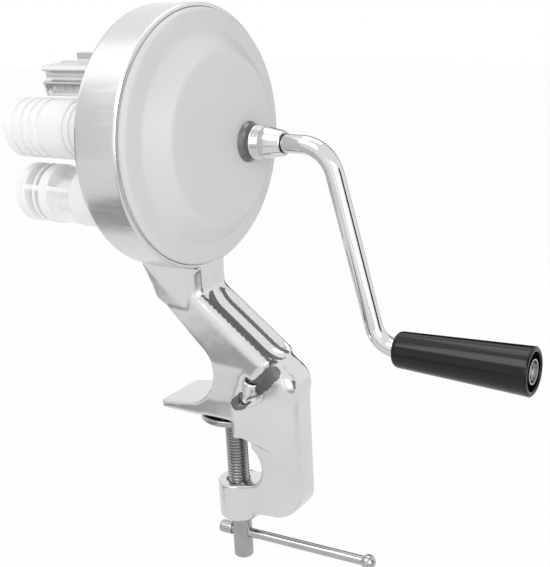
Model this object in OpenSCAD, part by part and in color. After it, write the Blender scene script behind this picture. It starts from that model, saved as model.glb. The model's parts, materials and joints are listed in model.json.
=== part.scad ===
// Hand cranked shell pasta machine with a table clamp.
// X runs along the crank shaft and points to the crank, Z points up.
// The origin is on the clamp screw's axis, on the underside of the fixed jaw.

/* [Housing] */
// Outer radius of the round housing
ring_r = 56.5; // [55:0.5:70]
// Depth of the housing from its back face to its front lip
ring_depth = 22; // [22:0.5:30]
// Thickness of the housing rim
ring_wall = 3.5; // [3:0.25:5]
// Thickness of the housing back plate
plate_t = 4; // [3:0.5:4]
// Height of the housing centre above the jaw
ring_z = 124; // [120:1:140]
// Distance of the front lip behind the clamp screw's axis
front_back = 7; // [5:0.5:9]
// Radius of the rounded edges of the rim
rim_round = 1.4; // [1:0.1:3]
// Length of the bearing bosses behind the back plate
boss_len = 8; // [6:0.5:12]
// Wall of a bearing boss around its bush
boss_wall = 2.5; // [2:0.25:4]

/* [Gear cover] */
// Wall of the plastic cover
cover_t = 2; // [1.6:0.2:2.6]
// Radius at the foot of the cover's cone
cone_foot_r = 45.2; // [43:0.2:48]
// Radius of the flat disc on top of the cone
cone_top_r = 36.3; // [32:0.1:39]
// Height of the cone
cone_h = 8.5; // [6:0.1:11]
// How far the cover's rim stands in front of the housing lip
cover_proud = 3.6; // [3:0.1:5]
// How far the cover's outer band rises towards its cone
cover_rise = 1; // [0.5:0.1:2]
// Radius of the hole that the crank spacer passes through
hub_hole_r = 7.6; // [7.2:0.1:8.4]

/* [Gears] */
// Module of all gears
gear_module = 1.25; // [1:0.05:1.3]
// Teeth of the gear on the crank shaft
crank_teeth = 38; // [36:1:40]
// Teeth of the cutter shaft's driven gear
cutter_teeth = 24; // [22:1:25]
// Teeth of the cutter shaft's small pinion
pinion_teeth = 12; // [12:1:13]
// Teeth of the large gear on the upper roller shaft
reduction_teeth = 34; // [34:1:36]
// Teeth of each of the two equal roller gears
roller_teeth = 24; // [24:1:25]
// Face width of every gear
gear_t = 5; // [3:0.25:5]
// Play between the flanks of two gears in mesh
backlash = 0.18; // [0.16:0.02:0.3]
// Radius of the roller and cutter shafts
shaft_r = 4; // [3.5:0.1:4.4]
// Radius of the crank shaft
crank_shaft_r = 5; // [4.5:0.1:5.4]
// Wall of the bearing bushes
bush_wall = 1.5; // [1:0.1:2]
// Sideways place of the crank shaft from the housing centre
crank_off_y = 16.7; // [15:0.1:17.5]
// Height of the crank shaft from the housing centre
crank_off_z = -3.7; // [-5:0.1:-3]
// Direction from the crank shaft to the cutter shaft, in degrees
cutter_dir = 126.7; // [125:0.1:128]
// Direction from the cutter shaft to the upper roller, in degrees
upper_dir = 228.7; // [226:0.1:231]
// Direction from the upper to the lower roller, in degrees
lower_dir = 274.8; // [272:0.2:280]

/* [Rollers and cutter] */
// Outer radius of the feed rollers
roller_r = 13.2; // [12:0.1:13.4]
// Length of the feed rollers
roller_len = 48.6; // [44:0.2:60]
// Core radius of the ringed upper roller
upper_core_r = 12.2; // [10:0.1:12.4]
// Core radius of the open lower roller
lower_core_r = 7.6; // [7.2:0.1:9]
// Thickness of the ribs along the lower roller
rib_t = 2.4; // [1.6:0.1:4]
// Sweep radius of the cutter
cutter_r = 15.2; // [14.6:0.1:15.2]
// Length of the cutter
cutter_len = 39.6; // [30:0.2:44]

/* [Crank and grip] */
// Radius of the bent crank rod
rod_r = 4; // [3.6:0.1:4.2]
// Distance from the crank shaft down to the grip's axis
crank_throw = 85.1; // [70:0.1:110]
// Outward slant of the crank arm, in degrees
arm_slant = 14.4; // [0:0.1:20]
// Bend radius at the hub end of the arm
upper_bend_r = 16; // [12:0.5:20]
// Bend radius at the grip end of the arm
lower_bend_r = 11; // [10:0.5:16]
// Length of the flared collar between cover and hub
collar_len = 4; // [3:0.1:6]
// Radius of the flared collar where it meets the cover
collar_r = 9; // [8.4:0.1:10]
// Length of the conical crank hub
hub_len = 14.2; // [12:0.1:20]
// Radius of the hub at its wide end
hub_r = 7.6; // [7.2:0.1:8.2]
// Radius of the hub at its narrow end
hub_tip_r = 5.4; // [5.2:0.1:6.4]
// Length of the grip
grip_len = 60; // [50:0.5:90]
// Radius of the grip at the arm end
grip_arm_r = 7.8; // [7.4:0.1:9]
// Radius of the grip at the free end
grip_end_r = 10.2; // [9.6:0.1:12]
// Radius of the spindle inside the grip
spindle_r = 3; // [2.6:0.1:3.2]

/* [Clamp] */
// Nominal radius of the clamp screw's thread
screw_r = 5; // [4.6:0.1:5.6]
// Pitch of the clamp screw's thread
screw_pitch = 1.5; // [1.25:0.25:1.75]
// Depth of the clamp screw's thread
thread_depth = 0.9; // [0.7:0.05:1]
// Opening between the jaw and the foot
clamp_open = 35.4; // [34:0.2:45]
// Radius of the pressure pad
pad_r = 15.4; // [12:0.1:15.6]
// Thickness of the pressure pad
pad_t = 2.8; // [2.7:0.1:4]
// Gap between the jaw and the pad at rest
pad_gap = 0.4; // [0.3:0.1:2]
// Reach of the fixed jaw in front of the screw's axis
jaw_len = 32; // [28:0.5:40]
// Width of the fixed jaw
jaw_w = 28.4; // [26:0.2:36]
// Thickness of the jaw at its tip
jaw_tip_t = 3.4; // [2.5:0.1:5]
// Thickness of the jaw where it meets the column
jaw_root_t = 8.8; // [7:0.2:12]
// Distance from the screw's axis to the outside of the spine
spine_x = 38.5; // [38:0.5:44]
// Width of the arm and spine of the clamp
spine_w = 17; // [14:0.5:20]
// Width of the neck between clamp and housing
neck_w = 25; // [23:0.5:27]
// Thickness of the neck's rounded bar
neck_t = 14; // [13:0.5:15]
// Slope of the neck below the horizontal, in degrees
neck_slope = 36.7; // [35:0.1:38]
// Radius of the shoulder between neck and spine
shoulder_r = 10.4; // [9:0.1:12]
// Radius of the foot boss that holds the screw
foot_r = 9.8; // [9:0.1:12]
// Height of the foot boss
foot_h = 18.5; // [16:0.5:22]
// Length of the plain shank below the foot boss
shank_len = 22; // [18:0.5:30]
// Radius of the sliding tommy bar
bar_r = 2.2; // [1.8:0.1:2.6]
// Length of the tommy bar from its capped end to the centre of its ball
bar_len = 77.2; // [64:0.4:92]
// Radius of the ball
ball_r = 3.4; // [3.2:0.1:4]
// Radius of the cap
cap_r = 3; // [2.8:0.1:3.6]
// Length of the cap
cap_len = 6.6; // [5:0.2:8]
// Turn of the tommy bar away from the crank's direction, in degrees
bar_turn = 3.5; // [-20:0.5:20]

/* [Hidden] */
$fn = 96;

// One overrun for every cut, and the clearances between fitted pieces
cut = 1;
seat_gap = 0.02;
running_gap = 0.05;
free_gap = 0.3;
gear_gap = 0.8;

// Places along the crank shaft
front_x = -front_back;
back_x = front_x - ring_depth;
floor_x = back_x + plate_t;
roller_plane_x = floor_x + gear_gap;
reduction_plane_x = roller_plane_x + gear_t + gear_gap;
crank_plane_x = reduction_plane_x + gear_t + gear_gap;
crank_gear_end_x = crank_plane_x + gear_t;
boss_end_x = back_x - boss_len;
bush_flange_t = 1;
bush_end_x = boss_end_x - bush_flange_t;
roller_start_x = bush_end_x - free_gap;
roller_end_x = roller_start_x - roller_len;
cutter_end_x = roller_start_x - cutter_len;

// The cover's section, from its rim to its top
rebate_depth = 3.5;
rebate_wall = 1.7;
rebate_gap = 0.2;
cover_r = ring_r - rebate_wall - rebate_gap;
cover_seat_x = front_x - rebate_depth;
cover_foot_x = front_x + cover_proud;
cover_rim_x = cover_foot_x - cover_rise;
cover_top_x = cover_foot_x + cone_h;
cover_round = 2.6;
snap_len = 1.8;
snap_up = 2;
snap_t = 1.4;
snap_r = ring_r - ring_wall - rebate_gap;
collar_x = cover_top_x + free_gap;
hub_x = collar_x + collar_len;
hub_end_x = hub_x + hub_len;

// Centres of the four shafts, in the housing's plane
gear_half = gear_module / 2;
crank_mesh = gear_half * (crank_teeth + cutter_teeth);
cutter_mesh = gear_half * (pinion_teeth + reduction_teeth);
roller_mesh = gear_module * roller_teeth;
ring_c = [0, ring_z];
crank_c = ring_c + [crank_off_y, crank_off_z];
cutter_c = crank_c + crank_mesh * [cos(cutter_dir), sin(cutter_dir)];
upper_c = cutter_c + cutter_mesh * [cos(upper_dir), sin(upper_dir)];
lower_c = upper_c + roller_mesh * [cos(lower_dir), sin(lower_dir)];

// Tooth form
pressure = 25;
root_share = 1.2;
root_depth = root_share * gear_module;
flank_steps = 3;

// Phases of the gears, so that teeth stand in gaps
cutter_phase = mesh_phase(cutter_dir, 0, crank_teeth, cutter_teeth);
reduction_phase = mesh_phase(upper_dir, 0, pinion_teeth, reduction_teeth);
lower_phase = mesh_phase(lower_dir, 0, roller_teeth, roller_teeth);

// Shafts, with a flat along each driven end, and what they carry
bush_flange_w = 1.4;
flat_share = 0.7;
groove_depth = 0.5;
clip_t = 0.8;
clip_w = 1.8;
clip_slot = 3;
shaft_tail = 1.2;
shaft_stub = 0.6;
spacer_wall = 1.5;
spacer_r = crank_shaft_r + spacer_wall;
screw_head_r = 4.6;
screw_head_t = 2.2;
screw_stem_r = 1.8;
screw_stem_len = 9;
screw_slot_w = 1.2;
screw_slot_depth = 1;
head_recess = 3;
roller_seat_x = roller_end_x + head_recess;
cutter_seat_x = cutter_end_x + head_recess;

// Rollers: bands and discs as shares of the length, measured from the free end
band_start_shares = [0, 0.115, 0.228, 0.325, 0.437, 0.752, 0.823, 0.9];
band_end_shares = [0.075, 0.19, 0.288, 0.395, 0.71, 0.785, 0.87, 1];
disc_start_shares = [0, 0.196, 0.265, 0.65];
disc_end_shares = [0.098, 0.224, 0.378, 1];
slope_share = 0.09;
roller_edge = 1.2;
band_edge = 0.6;
ribs = 4;
rib_turn = 68;

// Cutter: a web with a hooked blade at each side, seen along its shaft
web_t = 10;
cutter_hub_r = 5.8;
blade_reach = 14.4;
lip_reach = 12.7;
lip_drop = 1.8;
hook_drop = 8.5;
hook_tip_reach = 12.5;
hook_wall_reach = 8.6;
flute_r = 2.4;
flute_z = 0.2;
scoop_r = 3.3;
scoop_z = -6.3;
scoop_out = 0.4;
scoop_end_wall = 1.2;

// Crank arm: the arm's straight part runs between the two bends
shaft_grip = 6.5;
socket_wall = 0.6;
mouth_depth = 2;
mouth_gap = 0.6;
hub_waist_r = 7;
hub_lead = 0.7;
hub_ridges = 5;
ridge_len = 0.78;
ridge_depth = 0.22;
collar_waist = 0.1;
bend_angle = 90 - arm_slant;
arm_lead = 8.7;
arm_straight = (crank_throw - (upper_bend_r + lower_bend_r) * (1 - cos(bend_angle))) / sin(bend_angle);
upper_bend = [hub_end_x + arm_lead, crank_c[1] - upper_bend_r];
arm_top = upper_bend + upper_bend_r * [sin(bend_angle), cos(bend_angle)];
arm_low = arm_top + arm_straight * [cos(bend_angle), -sin(bend_angle)];
lower_bend = arm_low + lower_bend_r * [sin(bend_angle), cos(bend_angle)];
socket_x = hub_x + shaft_grip + socket_wall;
grip_c = [crank_c[0], crank_c[1] - crank_throw];
grip_x = lower_bend[0] + free_gap;
grip_end_x = grip_x + grip_len;
grip_round = 2.4;
grip_rim = 1.6;
grip_recess = 6;
grip_rim_w = 2.2;
rod_entry = 0.5;
rod_lap = 0.4;
rod_step = 0.05;
grip_washer_t = 0.8;
grip_washer_w = 1.7;
washer_x = grip_x + rod_entry;
sleeve_x = washer_x + grip_washer_t + free_gap;
sleeve_wall = 2.2;
sleeve_r = spindle_r + sleeve_wall;
sleeve_inset = 0.4;
sleeve_end_x = grip_end_x - sleeve_inset;
cup_depth = 4;
cup_wall = 0.6;
rivet_x = sleeve_end_x - cup_depth + free_gap;
rivet_r = sleeve_r - cup_wall - free_gap;
rivet_t = 1.5;
rivet_edge = 0.6;

// Clamp: the throat is hollowed round the pad
throat_gap = 0.6;
throat_r = pad_r + throat_gap;
throat_relief = 0.5;
foot_z = -clamp_open;
foot_low_z = foot_z - foot_h;
foot_round = 2;
screw_end_z = foot_low_z - shank_len;
bar_drop = 9.4;
bar_z = foot_low_z - bar_drop;
shank_relief = 0.4;
shank_r = screw_r - shank_relief;
shank_round = 1.6;
pad_top_z = -pad_gap;
pad_low_z = pad_top_z - pad_t;
pad_edge = 1;
pad_web = 1.1;
pad_play = 0.2;
tip_r = 3;
tip_head_r = 5;
tip_head_low_z = pad_low_z + pad_web + pad_play;
tip_head_t = 1.2;
thread_top_z = pad_low_z - pad_play;
thread_turns = floor((thread_top_z - foot_low_z) / screw_pitch);
thread_low_z = thread_top_z - thread_turns * screw_pitch;
bar_gap = 0.1;
ball_seat = 1.6;
cap_gap = 0.4;
cap_wall = 1.4;
cap_edge = 0.6;
bar_start = -shank_r - cap_gap - cap_len;
bar_end = bar_start + bar_len;
crest_shares = [0.4, 0.6];

// Column under the neck, wide at the throat and narrow at the spine
prism_h = 2 * ring_z;
strip_x = 11.4;
strip_drop = 7.6;
column_half = 12.8;
column_drop = 4;
column_fall = 14;
column_rise = 4;
column_top_x = 21;
spine_round = 5.5;
arm_lift = 7.4;
arm_fall = 1.3;
arm_corner_r = 15.5;
arm_low_z = foot_low_z + arm_lift;
jaw_corner_r = 2.5;

// Round throat of the clamp, whose floor rises from the foot
notch_r = 10.4;
notch_x = 8.4;
notch_lift = 12;
notch_rise = 12;
notch_c = [notch_x, foot_z + notch_lift];
notch_tan = notch_c + notch_r * [sin(notch_rise), -cos(notch_rise)];
notch_z = notch_tan[1] - (notch_tan[0] + cut) * tan(notch_rise);

// Neck: its outer line falls from the housing's lip to the shoulder
neck_lip_drop = 10.5;
neck_back_drop = 14.3;
neck_flare = 22.6;
neck_flare_mid = 17;
neck_flare_drop = 7;
neck_foot_drop = 20;
neck_bite = 1.5;
neck_rise = 5.5;
neck_round = 6;
neck_lead = 12;
neck_run = 44;
shoulder_run = 49.5;
neck_top_z = ring_z - ring_r;
neck_u = [cos(neck_slope), -sin(neck_slope)];
neck_n = [sin(neck_slope), cos(neck_slope)];
neck_start = [front_x, neck_top_z - neck_lip_drop];
shoulder_z = 17.3;
shoulder_half = 10.5;
shoulder_bar_half = 9.7;
shoulder_round = 6;
shoulder_c = [spine_x - shoulder_r, shoulder_z];

// Web under the neck: its inner line runs down to a fillet on the jaw
web_slope = 43.6;
web_sink = 7;
web_reach = 38;
web_foot = 13;
web_fillet_r = 15;
web_n = [sin(web_slope), cos(web_slope)];
web_u = [cos(web_slope), -sin(web_slope)];
web_top = [back_x, neck_top_z - neck_back_drop];
web_lead = 4;
web_low_z = 1;
web_flare_z = 26;
jaw_slope = (jaw_root_t - jaw_tip_t) / (jaw_len + strip_x);
jaw_lift = web_fillet_r * norm([1, jaw_slope]);
jaw_line_z = jaw_tip_t + jaw_len * jaw_slope;
fillet_x = (web_n * web_top - web_fillet_r - web_n[1] * (jaw_line_z + jaw_lift))
    / (web_n[0] + web_n[1] * jaw_slope);
fillet_c = [fillet_x, jaw_line_z + fillet_x * jaw_slope + jaw_lift];

// Round-ended groove down the neck
groove_r = 11;
groove_sink = 2.6;
groove_shares = [0.15, 0.86];

function mesh_phase(dir, phase_a, teeth_a, teeth_b) =
    dir + 180 + 180 / teeth_b + (dir - phase_a) * teeth_a / teeth_b;
function involute(angle) = tan(angle) * 180 / PI - angle;
function pitch_r(teeth) = gear_half * teeth;
function base_r(teeth) = pitch_r(teeth) * cos(pressure);
function half_tooth(teeth, r) =
    90 / teeth - backlash * 45 / (PI * pitch_r(teeth)) + involute(pressure)
    - involute(acos(min(1, base_r(teeth) / r)));
function flank_low(teeth) = max(base_r(teeth), pitch_r(teeth) - root_depth);
function flank_r(teeth, i) =
    flank_low(teeth) + (pitch_r(teeth) + gear_module - flank_low(teeth)) * i / flank_steps;
function polar(r, a) = [r * cos(a), r * sin(a)];
function tooth(teeth, mid) = [
    polar(pitch_r(teeth) - root_depth, mid - half_tooth(teeth, flank_low(teeth))),
    for (i = [0 : flank_steps]) polar(flank_r(teeth, i), mid - half_tooth(teeth, flank_r(teeth, i))),
    for (i = [flank_steps : -1 : 0]) polar(flank_r(teeth, i), mid + half_tooth(teeth, flank_r(teeth, i))),
    polar(pitch_r(teeth) - root_depth, mid + half_tooth(teeth, flank_low(teeth)))
];

// Radius of an arc that widens by a given amount over a given length
function flare_r(len, rise) = (len * len + rise * rise) / (2 * rise);

// Place along the rollers, from a share of their length counted from the free end
function roller_x(share) = roller_end_x + roller_len * share;

// Stand a shape drawn along Z on a shaft that runs along X
module on_shaft(centre, x) {
    translate([x, centre[0], centre[1]]) rotate([90, 0, 90]) children();
}

// Round bar along X between two places
module bar_x(centre, from_x, to_x, r) {
    on_shaft(centre, from_x) cylinder(r = r, h = to_x - from_x);
}

// Turn a section of radius and place along X about a shaft
module turned(centre) {
    on_shaft(centre, 0) rotate_extrude() children();
}

// Give a side view width across the machine
module across(width) {
    rotate([90, 0, 0]) linear_extrude(width, center = true) children();
}

// Box and rectangle between two opposite corners
module span(low, high) {
    translate(low) cube(high - low);
}

module field(low, high) {
    translate(low) square(high - low);
}

// Section of a disc with both outer edges rounded
module round_disc(r, low, high, edge) {
    field([0, low], [r - edge, high]);
    field([0, low + edge], [r, high - edge]);
    for (x = [low + edge, high - edge]) translate([r - edge, x]) circle(edge);
}

// Round bar's section with a flat, for the driven end of a shaft and for its bore
module flatted(r, gap) {
    intersection() {
        circle(r + gap);
        field([-r - cut, -r - cut], [r * flat_share + gap, r + cut]);
    }
}

module gear(centre, x, teeth, phase, bore) {
    on_shaft(centre, x) linear_extrude(gear_t) difference() {
        polygon([for (k = [0 : teeth - 1]) each tooth(teeth, phase + 360 * k / teeth)]);
        flatted(bore, seat_gap);
    }
}

// Ring-shaped groove for a clip that starts at x
module clip_groove(centre, x, r) {
    difference() {
        bar_x(centre, x - seat_gap, x + clip_t + seat_gap, r + cut);
        bar_x(centre, x - cut, x + clip_t + cut, r - groove_depth);
    }
}

// Shaft with a round journal, a flat at both ends, a tapped free end and a clip groove
module driven_shaft(centre, seat_x, clip_x) {
    free_x = seat_x + shaft_stub;
    end_x = clip_x + clip_t + shaft_tail;
    difference() {
        union() {
            bar_x(centre, roller_start_x, floor_x + running_gap, shaft_r);
            on_shaft(centre, free_x) linear_extrude(end_x - free_x) flatted(shaft_r, 0);
        }
        bar_x(centre, free_x - cut, seat_x + screw_stem_len + cut, screw_stem_r);
        clip_groove(centre, clip_x, shaft_r);
    }
}

module flanged_bush(centre, r, end_x) {
    difference() {
        union() {
            bar_x(centre, boss_end_x, end_x, r + bush_wall);
            bar_x(centre, bush_end_x, boss_end_x, r + bush_wall + bush_flange_w);
        }
        bar_x(centre, bush_end_x - cut, end_x + cut, r + running_gap);
    }
}

module shaft_clip(centre, x, r) {
    difference() {
        bar_x(centre, x, x + clip_t, r + clip_w);
        bar_x(centre, x - cut, x + clip_t + cut, r - groove_depth + seat_gap);
        translate([0, centre[0], centre[1]])
            span([x - cut, -clip_slot / 2, 0], [x + clip_t + cut, clip_slot / 2, r + clip_w + cut]);
    }
}

module end_screw(centre, seat_x) {
    head_x = seat_x - screw_head_t;
    difference() {
        union() {
            bar_x(centre, head_x, seat_x, screw_head_r);
            bar_x(centre, seat_x, seat_x + screw_stem_len, screw_stem_r - seat_gap);
        }
        translate([head_x, centre[0], centre[1]]) span(
            [-cut, -screw_head_r - cut, -screw_slot_w / 2],
            [screw_slot_depth, screw_head_r + cut, screw_slot_w / 2]
        );
    }
}

// Bore for a driven shaft with a recess for the head of its end screw
module driven_bore(centre, end_x, seat_x) {
    on_shaft(centre, seat_x - cut) linear_extrude(roller_start_x - seat_x + 2 * cut)
        flatted(shaft_r, seat_gap);
    bar_x(centre, end_x - cut, seat_x, screw_head_r + free_gap);
}

// Plan of the clamp: wide strip at the throat, narrow rounded spine
module column_plan() {
    half = spine_w / 2;
    polygon([
        [0, -column_half], [strip_x, -column_half], [spine_x - spine_round, -half],
        [spine_x - spine_round, half], [strip_x, column_half], [0, column_half]
    ]);
}

module spine_plan() {
    half = spine_w / 2;
    field([0, -half], [spine_x - spine_round, half]);
    field([0, spine_round - half], [spine_x, half - spine_round]);
    for (y = [spine_round - half, half - spine_round])
        translate([spine_x - spine_round, y]) circle(spine_round);
}

// Side view of the clamp's arm and spine
module arm_side() {
    difference() {
        union() {
            polygon([
                [0, arm_low_z - arm_fall], [spine_x - arm_corner_r, arm_low_z],
                [spine_x - arm_corner_r, shoulder_z], [0, shoulder_z]
            ]);
            field([0, arm_low_z + arm_corner_r], [spine_x, shoulder_z]);
            translate([spine_x - arm_corner_r, arm_low_z + arm_corner_r]) circle(arm_corner_r);
        }
        polygon([
            [-cut, throat_relief], [-cut, notch_z], notch_tan, notch_c, [notch_x, throat_relief]
        ]);
        translate(notch_c) circle(notch_r);
    }
}

// Side view of the wide column between jaw and spine
module column_side() {
    polygon([
        [0, -column_drop], [spine_x, -column_drop - column_fall], [spine_x, shoulder_z],
        [column_top_x, jaw_root_t + column_rise], [strip_x, jaw_root_t - cut], [0, jaw_tip_t]
    ]);
}

// Ball-like shoulder at the top of the spine
module shoulder() {
    translate([shoulder_c[0], 0, shoulder_c[1]]) rotate([90, 0, 0]) rotate_extrude() intersection() {
        round_disc(shoulder_r, -shoulder_half, shoulder_half, shoulder_round);
        field([0, -shoulder_half], [shoulder_r, shoulder_half]);
    }
}

// Bar with rounded outer edges, down the neck's outer line
module neck_bar(half, run) {
    lead = neck_start - neck_lead * neck_u;
    translate([lead[0], 0, lead[1]]) rotate([0, 90 + neck_slope, 0]) linear_extrude(neck_lead + run) {
        field([neck_round, -half], [neck_t, half]);
        field([0, neck_round - half], [neck_t, half - neck_round]);
        for (y = [neck_round - half, half - neck_round]) translate([neck_round, y]) circle(neck_round);
    }
}

// Side view of the web under the neck's bar, with a round hollow down to the jaw
module web_side() {
    difference() {
        polygon([
            web_top + web_lead * web_u, neck_start - web_sink * neck_n - web_lead * neck_u,
            neck_start + web_reach * neck_u - web_sink * neck_n,
            neck_start + web_reach * neck_u - web_foot * neck_n,
            [strip_x, jaw_root_t - cut], [strip_x, web_low_z], [fillet_x, web_low_z],
            fillet_c, fillet_c + web_fillet_r * web_n
        ]);
        translate(fillet_c) circle(web_fillet_r);
    }
}

// Front view of the web, which widens down to the jaw
module web_front() {
    half = neck_w / 2;
    polygon([
        [-jaw_w / 2, web_low_z], [jaw_w / 2, web_low_z], [jaw_w / 2, jaw_root_t], [half, web_flare_z],
        [half, ring_z], [-half, ring_z], [-half, web_flare_z], [-jaw_w / 2, jaw_root_t]
    ]);
}

// Side, front and top views of the neck's root on the housing
module root_side() {
    low = web_top + neck_lead * web_u;
    polygon([
        [back_x, neck_top_z + neck_rise], [front_x, neck_top_z + neck_rise], [front_x, low[1]], low, web_top
    ]);
}

module root_front() {
    half = neck_w / 2 - cut;
    low_z = neck_top_z - neck_foot_drop;
    mid_z = neck_top_z - neck_flare_drop;
    difference() {
        polygon([
            [-half, low_z], [half, low_z], [neck_flare_mid, mid_z], [neck_flare, neck_top_z + neck_rise],
            [-neck_flare, neck_top_z + neck_rise], [-neck_flare_mid, mid_z]
        ]);
        translate([0, ring_z]) circle(ring_r - neck_bite);
    }
}

module root_plan() {
    half = neck_w / 2;
    round_x = front_x - neck_round;
    polygon([[back_x, -neck_flare], [round_x, -half], [round_x, half], [back_x, neck_flare]]);
    field([round_x, neck_round - half], [front_x, half - neck_round]);
    for (y = [neck_round - half, half - neck_round]) translate([round_x, y]) circle(neck_round);
}

module neck_root() {
    intersection() {
        across(2 * neck_flare) root_side();
        linear_extrude(ring_z) root_plan();
        on_shaft([0, 0], back_x) linear_extrude(ring_depth) root_front();
    }
}

// Round-ended groove down the neck's outer face
module neck_groove() {
    lift = neck_n * (groove_r - groove_sink);
    from = neck_start + neck_u * neck_run * groove_shares[0] + lift;
    to = neck_start + neck_u * neck_run * groove_shares[1] + lift;
    run = norm(to - from);
    translate([from[0], 0, from[1]]) rotate([0, 90 + neck_slope, 0]) rotate_extrude() intersection() {
        union() {
            field([0, 0], [groove_r, run]);
            for (y = [0, run]) translate([0, y]) circle(groove_r);
        }
        field([0, -2 * groove_r], [2 * groove_r, run + 2 * groove_r]);
    }
}

module jaw_plate() {
    half = jaw_w / 2;
    intersection() {
        across(jaw_w) polygon([
            [-jaw_len, 0], [-jaw_len, jaw_tip_t], [strip_x, jaw_root_t],
            [strip_x, -strip_drop], [0, -strip_drop], [0, 0]
        ]);
        linear_extrude(prism_h, center = true) {
            field([-jaw_len, jaw_corner_r - half], [strip_x, half - jaw_corner_r]);
            field([jaw_corner_r - jaw_len, -half], [strip_x, half]);
            for (y = [jaw_corner_r - half, half - jaw_corner_r])
                translate([jaw_corner_r - jaw_len, y]) circle(jaw_corner_r);
        }
    }
}

// Foot boss with a rounded lower edge
module foot_boss() {
    rotate_extrude() {
        field([0, foot_low_z], [foot_r - foot_round, foot_z]);
        field([0, foot_low_z + foot_round], [foot_r, foot_z]);
        translate([foot_r - foot_round, foot_low_z + foot_round]) circle(foot_round);
    }
}

module clamp_frame() {
    difference() {
        union() {
            jaw_plate();
            intersection() {
                across(jaw_w) column_side();
                linear_extrude(prism_h, center = true) column_plan();
            }
            intersection() {
                across(spine_w) arm_side();
                linear_extrude(prism_h, center = true) spine_plan();
            }
            shoulder();
            neck_root();
            neck_bar(neck_w / 2, neck_run);
            neck_bar(shoulder_bar_half, shoulder_run);
            intersection() {
                across(jaw_w) web_side();
                on_shaft([0, 0], back_x) linear_extrude(spine_x - back_x) web_front();
            }
            foot_boss();
        }
        translate([0, 0, notch_c[1]]) cylinder(r = throat_r, h = throat_relief - notch_c[1]);
        translate([0, 0, foot_low_z - cut]) cylinder(r = screw_r + running_gap, h = foot_h + 2 * cut);
        neck_groove();
    }
}

module bosses() {
    for (c = [cutter_c, upper_c, lower_c]) bar_x(c, boss_end_x, floor_x, shaft_r + bush_wall + boss_wall);
    bar_x(crank_c, boss_end_x, reduction_plane_x + gear_t, crank_shaft_r + bush_wall + boss_wall);
}

module housing() {
    difference() {
        turned(ring_c) round_disc(ring_r, back_x, front_x, rim_round);
        bar_x(ring_c, floor_x, front_x + cut, ring_r - ring_wall);
        bar_x(ring_c, cover_seat_x, front_x + cut, cover_r + rebate_gap);
    }
}

module body_casting() {
    color("silver") difference() {
        union() {
            housing();
            bosses();
            clamp_frame();
        }
        for (c = [cutter_c, upper_c, lower_c])
            bar_x(c, boss_end_x - cut, floor_x + cut, shaft_r + bush_wall + seat_gap);
        bar_x(crank_c, boss_end_x - cut, crank_plane_x, crank_shaft_r + bush_wall + seat_gap);
    }
}

// Section of the cover's face, drawn again further in for its wall
module cover_face(inset) {
    rim_r = cover_r - inset;
    edge = cover_round - inset / 2;
    polygon([
        [0, cover_seat_x], [rim_r, cover_seat_x], [rim_r, cover_rim_x - inset - edge],
        [rim_r - edge, cover_rim_x - inset], [cone_foot_r - inset / 2, cover_foot_x - inset],
        [cone_top_r - inset / 2, cover_top_x - inset], [0, cover_top_x - inset]
    ]);
    translate([rim_r - edge, cover_rim_x - inset - edge]) circle(edge);
}

module gear_cover() {
    color("gainsboro") difference() {
        turned(ring_c) difference() {
            union() {
                cover_face(0);
                field([0, cover_seat_x - snap_len], [snap_r, cover_seat_x]);
            }
            intersection() {
                cover_face(cover_t);
                field([0, cover_seat_x + snap_up], [cover_r, cover_top_x]);
            }
            field([0, cover_seat_x - snap_len - cut], [snap_r - snap_t, cover_seat_x + snap_up]);
        }
        bar_x(crank_c, cover_foot_x, cover_top_x + cut, hub_hole_r);
    }
}

module crank_bush() {
    color("goldenrod") flanged_bush(crank_c, crank_shaft_r, reduction_plane_x + gear_t);
}

module cutter_bush() {
    color("goldenrod") flanged_bush(cutter_c, shaft_r, floor_x);
}

module upper_roller_bush() {
    color("goldenrod") flanged_bush(upper_c, shaft_r, floor_x);
}

module lower_roller_bush() {
    color("goldenrod") flanged_bush(lower_c, shaft_r, floor_x);
}

module crank_shaft() {
    clip_x = bush_end_x - free_gap - clip_t;
    color("lightsteelblue") difference() {
        union() {
            bar_x(crank_c, clip_x - shaft_tail, crank_plane_x - running_gap, crank_shaft_r);
            on_shaft(crank_c, crank_plane_x - cut) linear_extrude(hub_x + shaft_grip - crank_plane_x + cut)
                flatted(crank_shaft_r, 0);
        }
        clip_groove(crank_c, clip_x, crank_shaft_r);
    }
}

module crank_clip() {
    color("dimgray") shaft_clip(crank_c, bush_end_x - free_gap - clip_t, crank_shaft_r);
}

module crank_gear() {
    color("darkgray") gear(crank_c, crank_plane_x, crank_teeth, 0, crank_shaft_r);
}

module crank_spacer() {
    color("darkgray") difference() {
        bar_x(crank_c, crank_gear_end_x, collar_x, spacer_r);
        bar_x(crank_c, crank_gear_end_x - cut, collar_x + cut, crank_shaft_r + seat_gap);
    }
}

// Collar that flares towards the cover
module crank_collar() {
    waist_r = hub_r + collar_waist;
    arc_r = flare_r(collar_len, collar_r - waist_r);
    color("gray") turned(crank_c) difference() {
        field([crank_shaft_r + seat_gap, collar_x], [collar_r, hub_x]);
        translate([waist_r + arc_r, hub_x]) circle(arc_r);
    }
}

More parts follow.
